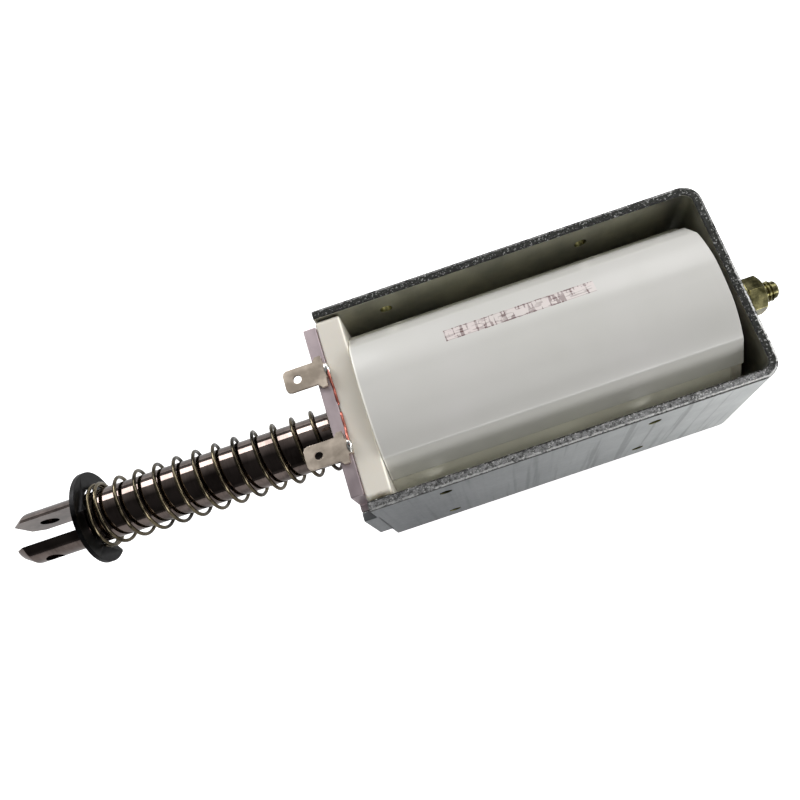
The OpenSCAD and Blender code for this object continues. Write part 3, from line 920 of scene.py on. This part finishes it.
@dataclass
class Covers:
    """The two moulded covers: a round crown that runs into flat, thinning flanks."""

    shoulder: float = 56.5
    edge_angle: float = 40.0
    edge_wall: float = 0.6 * MM
    crown_r: float = 27.6 * MM
    roll: float = 3.5
    round_off: float = 1.2 * MM
    flank_steps: int = 4

    def pull(self, bm: Mesh, face: Face, side: int, part: float) -> Face:
        """Extrudes a face to a place on a flank.

        Args:
            bm: The mesh.
            face: The face at the end of the sweep so far.
            side: 1 on the far flank, -1 on the near one.
            part: 0 at the shoulder, 1 at the thin lower edge.

        Returns:
            The face at its new place.
        """
        face = push(bm, face, Vector())
        inside = self.at(0, self.inner_r(), self.shoulder + (self.edge_angle - self.shoulder) * part)
        outside = self.at(0, self.crown_r, self.shoulder).lerp(
            self.at(0, self.inner_r() + self.edge_wall, self.edge_angle), part)
        verts = sorted(face.verts, key=lambda v: (v.co - BORE).yz.length)
        for vert, place in zip(verts, (inside, inside, outside, outside)):
            vert.co.y, vert.co.z = side * place.y, place.z
        return face

    @staticmethod
    def inner_r() -> float:
        """The radius inside the covers."""
        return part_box("coil_wrap")[1].y + 0.2 * MM

    @staticmethod
    def at(x: float, radius: float, degrees: float) -> Vector:
        """A point by its radius and its angle above the level."""
        angle = math.radians(degrees)
        return Vector((x, radius * math.cos(angle), BORE_Z + radius * math.sin(angle)))

    def shell(self) -> Mesh:
        """Runs up the far flank, round the crown with its flat land, and down the near flank."""
        low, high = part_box("upper_cover")
        inner_r = self.inner_r()
        bm = bmesh.new()
        face = start_face(bm, [self.at(x, r, self.edge_angle) for x, r in (
            (low.x, inner_r), (high.x, inner_r), (high.x, inner_r + self.edge_wall),
            (low.x, inner_r + self.edge_wall))])
        for step in range(self.flank_steps - 1, -1, -1):
            face = self.pull(bm, face, 1, step / self.flank_steps)
        face = swing(bm, face, BORE, ALONG, 180 - 2 * self.shoulder, 36)
        for step in range(1, self.flank_steps + 1):
            face = self.pull(bm, face, -1, step / self.flank_steps)
        self.flatten(bm)
        tidy(bm)
        return bm

    def flatten(self, bm: Mesh) -> None:
        """Eases the top of the crown into its flat land."""
        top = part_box("upper_cover")[1].z - BORE_Z
        reach = 2 * math.acos(top / self.crown_r)
        drop = top - self.crown_r * math.cos(reach)
        power = self.crown_r * math.sin(reach) * reach / drop
        for vert in bm.verts:
            lean = abs(math.atan2(vert.co.y, vert.co.z - BORE_Z))
            if lean < reach and (vert.co - BORE).yz.length > self.crown_r - 0.1 * MM:
                vert.co.z = BORE_Z + top - drop * (lean / reach) ** power

    def build(self) -> None:
        """Makes the upper cover and its mirrored twin below."""
        for name, node, finish, flip in (("upper_cover_moulding", "upper_cover", COVER, False),
                                         ("lower_cover_moulding", "lower_cover", LOWER_COVER, True)):
            bm = self.shell()
            corner = self.at(0, self.crown_r, self.shoulder).yz
            ridge = [e for e in bm.edges if all(
                (Vector((abs(v.co.y), v.co.z)) - corner).length < 1e-5 for v in e.verts)]
            bevel(bm, ridge, self.round_off, 6)
            soften(bm, 0.2 * MM, 2, 50)
            if flip:
                bmesh.ops.scale(bm, vec=(1, 1, -1), verts=bm.verts, space=Matrix.Translation(-BORE))
                bmesh.ops.recalc_face_normals(bm, faces=bm.faces)
            else:
                bmesh.ops.rotate(bm, cent=BORE, verts=bm.verts,
                                 matrix=Matrix.Rotation(math.radians(self.roll), 3, "X"))
                for vert in bm.verts:
                    vert.co.z = min(vert.co.z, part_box("upper_cover")[1].z)
            publish(bm, name, [finish], Body.FIXED, [node], 45, True)


@dataclass
class CoreStack:
    """What holds the fixed core to the frame's back: sleeve, pad, washer, nut and damper."""

    washer_bore: float = 6.1 * MM
    nut_flats: float = 17 * MM
    nut_bore: float = 6.03 * MM
    damper_bore: float = 3.3 * MM

    def build(self) -> None:
        """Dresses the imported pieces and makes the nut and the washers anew."""
        for node, finish in (("guide_sleeve", BRASS), ("fixed_core", CORE), ("seat_washer", BRASS),
                             ("rear_pad", FOAM)):
            dress(node, finish)
        washer("core_washer", "core_washer_piece", self.washer_bore, 0.15 * MM, YELLOW_ZINC, Body.FIXED)
        nut("core_nut", self.nut_flats, self.nut_bore, Body.FIXED)
        washer("damping_washer", "damper_piece", self.damper_bore, 0.4 * MM, RUBBER, Body.FIXED)


@dataclass
class Plunger:
    """The long turned plunger with a clevis slot, a pin hole and a clip groove."""

    slot_w: float = 6.8 * MM
    slot_depth: float = 19.2 * MM
    pin_r: float = 2.5 * MM
    pin_offset: float = 8 * MM
    tip_chamfer: float = 3 * MM
    tip_drop: float = 1.8 * MM
    groove_r: float = 5.9 * MM
    groove_w: float = 1.5 * MM
    groove_offset: float = 22 * MM
    seat_depth: float = 5 * MM
    cone: tuple[float, float] = (6.6 * MM, 5.1 * MM)
    rod_hole: tuple[float, float] = (3.02 * MM, 12 * MM)

    def build(self) -> None:
        """Turns the bar, cuts the clevis and breaks its edges."""
        low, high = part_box("plunger")
        r, tip, nose = high.y, low.x, high.x
        hole_r, hole_end = self.rod_hole[0], nose - self.rod_hole[1]
        g1 = tip + self.groove_offset - self.groove_w / 2
        g2 = g1 + self.groove_w
        soft = 0.25 * MM
        bm = revolve([
            (tip, 0), (tip, r - self.tip_drop - soft), (tip + soft, r - self.tip_drop),
            (tip + self.tip_chamfer - soft, r - 0.12 * MM), (tip + self.tip_chamfer + soft, r),
            (g1 - 0.15 * MM, r), (g1, r - 0.15 * MM), (g1, self.groove_r), (g2, self.groove_r),
            (g2, r - 0.15 * MM), (g2 + 0.15 * MM, r), (nose - self.seat_depth - 0.2 * MM, r),
            (nose - self.seat_depth, r - 0.2 * MM), (nose - self.seat_depth, self.cone[0]),
            (nose, self.cone[1]), (nose, hole_r), (hole_end, hole_r), (hole_end, 0)])
        slot = block((tip - 2 * MM, -self.slot_w / 2, BORE_Z - 2 * r),
                     (tip + self.slot_depth, self.slot_w / 2, BORE_Z + 2 * r))
        pin = drill(BORE + ALONG * (tip + self.pin_offset), ACROSS, self.pin_r, 3 * r, 48)
        bm = carve(carve(bm, slot), pin)
        soften(bm, 0.18 * MM, 2, 50, lambda e: max(v.co.x for v in e.verts) < tip + self.slot_depth + 1e-5)
        publish(bm, "plunger_bar", [NICKEL], Body.MOVING, ["plunger"], 30, True)


@dataclass
class StopStack:
    """The push rod with its thread, the stop washer and the stop nut."""

    rod_r: float = 3 * MM
    pitch: float = 1 * MM
    thread_depth: float = 0.5 * MM
    threaded: float = 16 * MM
    end_cut: float = 0.5 * MM
    washer_bore: float = 3.1 * MM
    nut_flats: float = 10 * MM
    nut_bore: float = 3.03 * MM

    def thread(self, x1: float, x2: float, steps: int = 32) -> Mesh:
        """A screw thread as one continuous helix between two stations."""
        bm = bmesh.new()
        root, crest = self.rod_r - self.thread_depth, self.rod_r
        outline = [(0.0, root), (0.12, root), (0.44, crest), (0.56, crest), (0.88, root), (1.0, root)]
        verts = [bm.verts.new((x1 + share * self.pitch, radius, BORE_Z)) for share, radius in outline]
        edges = [bm.edges.new(pair) for pair in zip(verts, verts[1:])]
        turns = int((x2 - x1) / self.pitch) - 1
        bmesh.ops.spin(bm, geom=verts + edges, cent=BORE, axis=ALONG, dvec=ALONG * (self.pitch / steps),
                       angle=math.tau * turns, steps=steps * turns, use_duplicate=False)
        bmesh.ops.remove_doubles(bm, verts=bm.verts, dist=1e-6)
        return bm

    def build(self) -> None:
        """Makes the rod with its thread, the washer and the nut."""
        low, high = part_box("push_rod")
        start, cut = high.x - self.threaded, self.end_cut
        root = self.rod_r - self.thread_depth
        skin = root + 0.01 * MM
        core = revolve([(low.x, 0), (low.x, self.rod_r - cut), (low.x + cut, self.rod_r),
                        (start, self.rod_r), (start + cut, skin), (high.x - cut, skin),
                        (high.x, root - 0.4 * MM), (high.x, 0)], False, 48)
        bm = joined(core, self.thread(start + 0.3 * MM, high.x - 0.1 * MM))
        bmesh.ops.recalc_face_normals(bm, faces=bm.faces)
        publish(bm, "push_rod_bar", [YELLOW_ZINC], Body.MOVING, ["push_rod"])
        washer("stop_washer", "stop_washer_piece", self.washer_bore, 0.2 * MM, YELLOW_ZINC, Body.MOVING)
        nut("stop_nut", self.nut_flats, self.nut_bore, Body.MOVING)


@dataclass
class EClip:
    """The snap ring: a broad open ring that grips the groove with three lugs."""

    relief_r: float = 8.6 * MM
    grip_r: float = 5.93 * MM
    outer_r: float = 13.25 * MM
    mouth: float = 10.15 * MM
    opening: float = 250.0
    gap: float = 22.0
    lug_faces: int = 7
    tips: tuple[float, float] = (1.1 * MM, 2.2 * MM)

    def build(self) -> None:
        """Sweeps the ring, pulls the lugs in and cuts the mouth."""
        low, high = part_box("retaining_clip")
        bm = hoop((low.x, high.x), self.relief_r, self.outer_r, self.gap, 360 - 2 * self.gap, 79, Vector())
        for lug in (90, 180, 270):
            inner_faces = (f for f in bm.faces if abs(f.normal.x) < 0.5
                           and f.calc_center_median().yz.length < self.relief_r + 0.1 * MM)
            inside = sorted(inner_faces, key=lambda f: abs(self.bearing(f) - lug))
            made = bmesh.ops.extrude_face_region(bm, geom=inside[:self.lug_faces])["geom"]
            for vert in (g for g in made if isinstance(g, Vert)):
                vert.co.yz = vert.co.yz * (self.grip_r / vert.co.yz.length)
        bmesh.ops.recalc_face_normals(bm, faces=bm.faces)
        bm = carve(bm, block((low.x - 1 * MM, 0, -self.mouth / 2),
                             (high.x + 1 * MM, 2 * self.outer_r, self.mouth / 2)))
        for radius, round_off in zip((self.relief_r, self.outer_r), self.tips):
            ends = [e for e in bm.edges if all(
                v.co.y > 0 and abs(abs(v.co.z) - self.mouth / 2) < 0.02 * MM
                and abs(v.co.yz.length - radius) < 0.3 * MM for v in e.verts)
                and abs(e.verts[0].co.x - e.verts[1].co.x) > 0.5 * MM]
            bevel(bm, ends, round_off, 6)
        turn = Matrix.Translation(BORE) @ Matrix.Rotation(math.radians(self.opening), 4, ALONG)
        bmesh.ops.transform(bm, matrix=turn, verts=bm.verts)
        soften(bm, 0.16 * MM, 2, 50)
        publish(bm, "e_clip", [BLACK], Body.MOVING, ["retaining_clip"], 30, True)

    @staticmethod
    def bearing(face: Face) -> float:
        """A face's angle round the bore, 0 to 360 degrees."""
        place = face.calc_center_median()
        return math.degrees(math.atan2(place.z, place.y)) % 360


@dataclass
class ReturnSpring:
    """The round wire spring between the clip and the front plate, with closed ends."""

    wire_r: float = 0.525 * MM
    active: float = 12.0
    closed: float = 1.5
    sides: int = 12
    steps: int = 40
    travel: float = 45 * MM
    turned: float = 170.0

    def build(self) -> None:
        """Sweeps the wire's round section along the coils."""
        low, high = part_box("return_spring")
        mean_r = (high.y - low.y) / 2 - self.wire_r
        tight = 2 * self.wire_r * 1.04
        start = low.x + self.wire_r
        loose = (high.x - self.wire_r - start - 2 * self.closed * tight) / self.active
        bm = bmesh.new()
        bmesh.ops.create_circle(bm, cap_ends=True, segments=self.sides, radius=self.wire_r,
                                matrix=Matrix.Translation(BORE + Vector((start, mean_r, 0))))
        bm.faces.ensure_lookup_table()
        end = bm.faces[0]
        for turns, pitch in ((self.closed, tight), (self.active, loose), (self.closed, tight)):
            end = swing(bm, end, BORE, ALONG, 360 * turns, round(self.steps * turns), turns * pitch)
        tidy(bm)
        bmesh.ops.rotate(bm, cent=BORE, verts=bm.verts,
                         matrix=Matrix.Rotation(math.radians(self.turned), 3, "X"))
        piece = publish(bm, "spring_wire", [SPRING_WIRE], Body.FIXED, ["return_spring"], 60)
        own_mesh(piece)


@dataclass
class Terminals:
    """The two solder tabs with their joints and the enamelled leads of the coil."""

    thick: float = 0.8 * MM
    width: float = 6.3 * MM
    root_w: float = 8.6 * MM
    root_length: float = 2.4 * MM
    corner: float = 1.2 * MM
    hole_r: float = 1.1 * MM
    hole_at: float = 3.5 * MM
    leg_w: float = 4 * MM
    leg_depth: float = 7 * MM
    leg_in: float = 0.5 * MM
    flare: float = 0.9 * MM
    neck: float = 0.2 * MM
    bend: float = 0.4 * MM
    offset: float = 10.6 * MM
    lead_r: float = 0.36 * MM
    blob: tuple[float, float, float] = (0.8 * MM, 1.9 * MM, 0.8 * MM)
    lumps: float = 0.22

    def tab(self, side: int) -> None:
        """One tab: a flat blade with cut corners, a wider root and a leg bent down."""
        node = "far_terminal" if side > 0 else "near_terminal"
        low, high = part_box(node)
        y = side * self.offset
        bottom = high.z - self.thick
        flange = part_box("bobbin")[0].x
        root, turn_x = flange - self.root_length, flange + self.leg_in - self.thick - self.bend
        bm = bmesh.new()
        w = self.width / 2
        end = start_face(bm, [Vector((low.x, y + a, bottom + b)) for a, b in (
            (-w, 0), (w, 0), (w, self.thick), (-w, self.thick))])
        end = push(bm, end, ALONG * (root - low.x - self.flare))
        end = push(bm, end, ALONG * self.flare)
        self.widen(bm, end, y, self.root_w / self.width)
        end = push(bm, end, ALONG * (turn_x - root - self.neck))
        end = push(bm, end, ALONG * self.neck)
        self.widen(bm, end, y, self.leg_w / self.root_w)
        end = swing(bm, end, Vector((turn_x, y, bottom - self.bend)), ACROSS, 90, 6)
        push(bm, end, UP * -self.leg_depth)
        tidy(bm)
        tips = [e for e in bm.edges if all(v.co.x < low.x + 1e-5 for v in e.verts)
                and abs(e.verts[0].co.z - e.verts[1].co.z) > 0.5 * self.thick]
        bevel(bm, tips, self.corner, 2)
        bm = carve(bm, drill(Vector((low.x + self.hole_at, y, bottom)), UP, self.hole_r, 4 * MM))
        soften(bm, 0.13 * MM, 2, 40)
        publish(bm, node + "_tab", [TINNED], Body.FIXED, [node], 35, True)

    @staticmethod
    def widen(bm: Mesh, face: Face, y: float, factor: float) -> None:
        """Scales a face across the tab about its middle."""
        bmesh.ops.scale(bm, vec=(1, factor, 1), verts=face.verts, space=Matrix.Translation((0, -y, 0)))

    def joints(self) -> None:
        """A low, uneven blob of solder on each tab."""
        tab_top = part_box("far_terminal")[1].z
        blobs = []
        for side in (-1, 1):
            blob = bmesh.new()
            bmesh.ops.create_icosphere(blob, subdivisions=4, radius=1, matrix=Matrix.Identity(4))
            for vert in blob.verts:
                vert.co *= 1 + self.lumps * noise.noise(vert.co * 1.3 + Vector((side * 3.1, 0, 0)))
            centre = Vector((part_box("bobbin")[0].x, side * self.offset, tab_top - 0.1 * MM))
            bmesh.ops.transform(blob, verts=blob.verts,
                                matrix=Matrix.Translation(centre) @ Matrix.Diagonal((*self.blob, 1)))
            blobs.append(blob)
        publish(joined(*blobs), "solder_blobs", [SOLDER], Body.FIXED, ["solder_joints"])

    def lead(self, side: int) -> None:
        """One enamelled lead from its joint to the hole in the flange."""
        node = "start_lead" if side > 0 else "finish_lead"
        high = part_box(node)[1]
        x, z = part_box("bobbin")[0].x + 0.12 * MM, high.z - self.lead_r - 0.2 * MM
        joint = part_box("front_plate")[1].z - 0.12 * MM
        curve = bpy.data.curves.new("lead", "CURVE")
        curve.dimensions, curve.bevel_depth, curve.bevel_resolution = "3D", self.lead_r, 4
        line = curve.splines.new("BEZIER")
        points = [(x, self.offset, z), (x, 0.75 * self.offset, z - 0.3 * MM), (x, 0.55 * self.offset, joint),
                  (x, 3 * MM, joint), (x, 1.4 * MM, joint - 0.4 * MM), (x, 0.9 * MM, joint - 3 * MM)]
        line.bezier_points.add(len(points) - 1)
        for knot, (px, py, pz) in zip(line.bezier_points, points):
            knot.co = (px, side * py, pz)
            knot.handle_left_type = knot.handle_right_type = "AUTO"
        curve.resolution_u, curve.use_fill_caps = 12, True
        holder = add("lead", curve)
        bpy.context.view_layer.update()
        mesh = bpy.data.meshes.new_from_object(holder.evaluated_get(bpy.context.evaluated_depsgraph_get()))
        bm = bmesh.new()
        bm.from_mesh(mesh)
        bpy.data.curves.remove(curve)
        tidy(bm)
        publish(bm, node + "_wire", [COPPER], Body.FIXED, [node], 60)

    def build(self) -> None:
        """Makes both tabs, the solder and both leads."""
        for side in (1, -1):
            self.tab(side)
            self.lead(side)
        self.joints()


@dataclass(frozen=True)
class Lamp:
    """A rectangular soft lamp that faces the bore's middle."""

    name: str
    power: float
    size: tuple[float, float]
    place: tuple[float, float, float]

    def build(self) -> None:
        """Hangs the lamp and turns it to the object."""
        data = bpy.data.lights.new(self.name, "AREA")
        data.energy, data.shape, data.size, data.size_y = self.power, "RECTANGLE", *self.size
        turn = (BORE - Vector(self.place)).to_track_quat("-Z", "Y").to_matrix().to_4x4()
        add(self.name, data).matrix_world = Matrix.Translation(self.place) @ turn


@dataclass
class Studio:
    """The camera, the pale floor, the soft lamps and the surroundings."""

    place: tuple[float, float, float] = (0.013235, -0.063849, 0.233286)
    forward: tuple[float, float, float] = (-0.006805, 0.281070, -0.959663)
    upward: tuple[float, float, float] = (0.319168, 0.910100, 0.264291)
    lens: float = 34.235
    shift: tuple[float, float] = (-0.0526, 0.0172)
    shade_side: tuple[float, float, float] = (-0.38, -0.55, 0.74)
    floor_size: float = 4.0
    floor_drop: float = 0.0001
    lamps: tuple[Lamp, ...] = (
        Lamp("far_streak", 3.2, (0.4, 0.3), (-0.28, 0.6, 0.36)),
        Lamp("far_soft", 2.1, (0.7, 0.4), (0.46, 0.52, 0.56)),
        Lamp("near_soft", 0.6, (0.8, 0.45), (0.45, -0.6, 0.45)),
        Lamp("near_low", 2.6, (0.8, 0.25), (0.28, -0.7, 0.34)),
        Lamp("near_top", 0.4, (0.3, 0.3), (0.1, -0.35, 0.75)),
        Lamp("right_soft", 2.4, (0.5, 0.3), (0.8, 0.1, 0.35)))

    def camera(self) -> None:
        """Sets the camera at the object's viewing angle."""
        data = bpy.data.cameras.new("camera")
        data.lens, data.sensor_width, data.sensor_fit = self.lens, 36, "HORIZONTAL"
        data.shift_x, data.shift_y = self.shift
        data.clip_start, data.clip_end = 0.01, 20
        back = -Vector(self.forward).normalized()
        right = Vector(self.upward).cross(back).normalized()
        turn = Matrix((right, back.cross(right), back)).transposed().to_4x4()
        camera = add("camera", data)
        camera.matrix_world = Matrix.Translation(self.place) @ turn
        bpy.context.scene.camera = camera

    def floor(self) -> None:
        """A pale floor that shows white and keeps the object's shadow."""
        bm = bmesh.new()
        bmesh.ops.create_grid(bm, x_segments=1, y_segments=1, size=self.floor_size,
                              matrix=Matrix.Translation(UP * -self.floor_drop))
        mesh = bpy.data.meshes.new("floor")
        bm.to_mesh(mesh)
        bm.free()
        tree = Tree(bpy.data.materials.new("floor"))
        seen = (tree.node("ShaderNodeLightPath", output="Is Camera Ray") * 1.0
                + tree.node("ShaderNodeLightPath", output="Is Glossy Ray") * 0.05)
        tree.fill(Base_Color=tint(226, 226, 226), Roughness=0.9, Specular_IOR_Level=0.0,
                  Emission_Color=(1, 1, 1, 1), Emission_Strength=seen,
                  Alpha=1.0 - tree.node("ShaderNodeNewGeometry", output="Backfacing"))
        mesh.materials.append(tree.owner)
        add("floor", mesh)

    def surroundings(self) -> None:
        """A sky that is palest overhead and darkest low down on the near left."""
        world = bpy.data.worlds.new("studio")
        bpy.context.scene.world = world
        tree = Tree(world, "Background")
        way = tree.node("ShaderNodeTexCoord", output="Generated")
        rise = tree.node("ShaderNodeSeparateXYZ", {}, {0: way}, "Z")
        towards = tree.node("ShaderNodeVectorMath", {"operation": "DOT_PRODUCT"},
                            {0: way, 1: self.shade_side}, 1)
        level = tree.remap(rise, 0.0, 1.0, 0.3, 0.6) * tree.remap(towards, 0.25, 0.8, 1.0, 0.1)
        seen = tree.node("ShaderNodeLightPath", output="Is Camera Ray")
        tree.fill(Color=tree.mix(seen, tree.mix(level, (0, 0, 0, 1), (1, 1, 1, 1)), (1, 1, 1, 1)))

    def build(self) -> None:
        """Puts the studio together."""
        bpy.context.scene.view_settings.view_transform = "Standard"
        self.camera()
        for lamp in self.lamps:
            lamp.build()
        self.floor()
        self.surroundings()


def main() -> None:
    """Builds the studio and every sub-assembly."""
    logging.basicConfig(level=logging.INFO, format="%(name)s %(message)s")
    for assembly in (Studio(), BentFrame(), FrontPlate(), Bobbin(), Coil(), Covers(), CoreStack(), Plunger(),
                     StopStack(), EClip(), ReturnSpring(), Terminals()):
        log.info("building %s", type(assembly).__name__)
        assembly.build()


if __name__ == "__main__":
    main()
